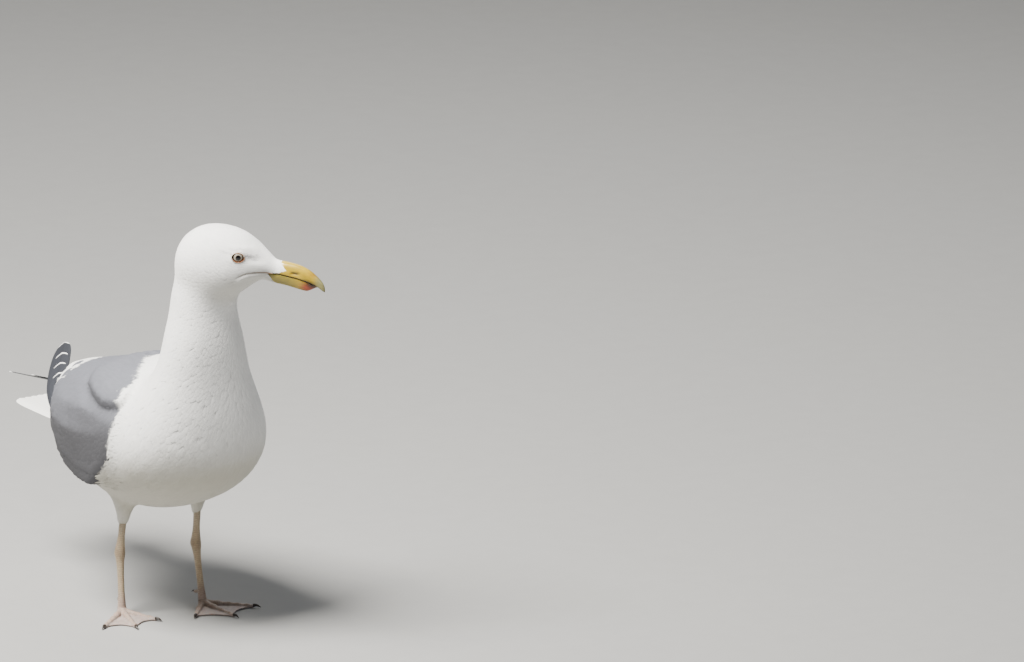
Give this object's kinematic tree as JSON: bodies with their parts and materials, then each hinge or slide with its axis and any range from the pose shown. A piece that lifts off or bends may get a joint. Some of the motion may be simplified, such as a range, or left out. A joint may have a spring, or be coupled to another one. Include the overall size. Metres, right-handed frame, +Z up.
{
  "type": "herring gull",
  "caption": "Life-size model of a grey-and-white gull standing on two webbed feet, neck upright and head turned to its left, with folded black-tipped wings and a yellow bill.",
  "frame": {"origin": "centre of the base of the bounding box, on the floor under the soles", "axes": "+X to the bird's left, -Y the way its breast faces, +Z up"},
  "size_m": [0.1838, 0.4566, 0.425],
  "materials": {
    "white_plumage": "white contour feathers, matt and soft",
    "grey_plumage": "pale blue-grey mantle and wing feathers, matt",
    "black_plumage": "black flight feathers with a faint gloss",
    "bill_horn": "yellow horn, half glossy",
    "eye": "wet, glossy eyeball with a pale iris",
    "eyelid": "bare orange skin, half matt",
    "leg_skin": "pale pink scaled skin, half matt",
    "claw_horn": "dark horn, half glossy"
  },
  "bodies": {
    "root": {"bill_lower": "bill_horn", "bill_upper": "bill_horn", "claw_hind_left": "claw_horn", "claw_hind_right": "claw_horn", "claw_inner_left": "claw_horn", "claw_inner_right": "claw_horn", "claw_middle_left": "claw_horn", "claw_middle_right": "claw_horn", "claw_outer_left": "claw_horn", "claw_outer_right": "claw_horn", "eye_left": "eye", "eye_right": "eye", "eyelid_left": "eyelid", "eyelid_right": "eyelid", "foot_left": "leg_skin", "foot_right": "leg_skin", "head": "white_plumage", "hind_toe_left": "leg_skin", "hind_toe_right": "leg_skin", "neck": "white_plumage", "primaries_left": "black_plumage", "primaries_right": "black_plumage", "shank_left": "leg_skin", "shank_right": "leg_skin", "tail": "white_plumage", "thigh_left": "white_plumage", "thigh_right": "white_plumage", "tibia_left": "leg_skin", "tibia_right": "leg_skin", "trunk": "white_plumage", "wing_left": "grey_plumage", "wing_right": "grey_plumage"}
  },
  "joints": []
}
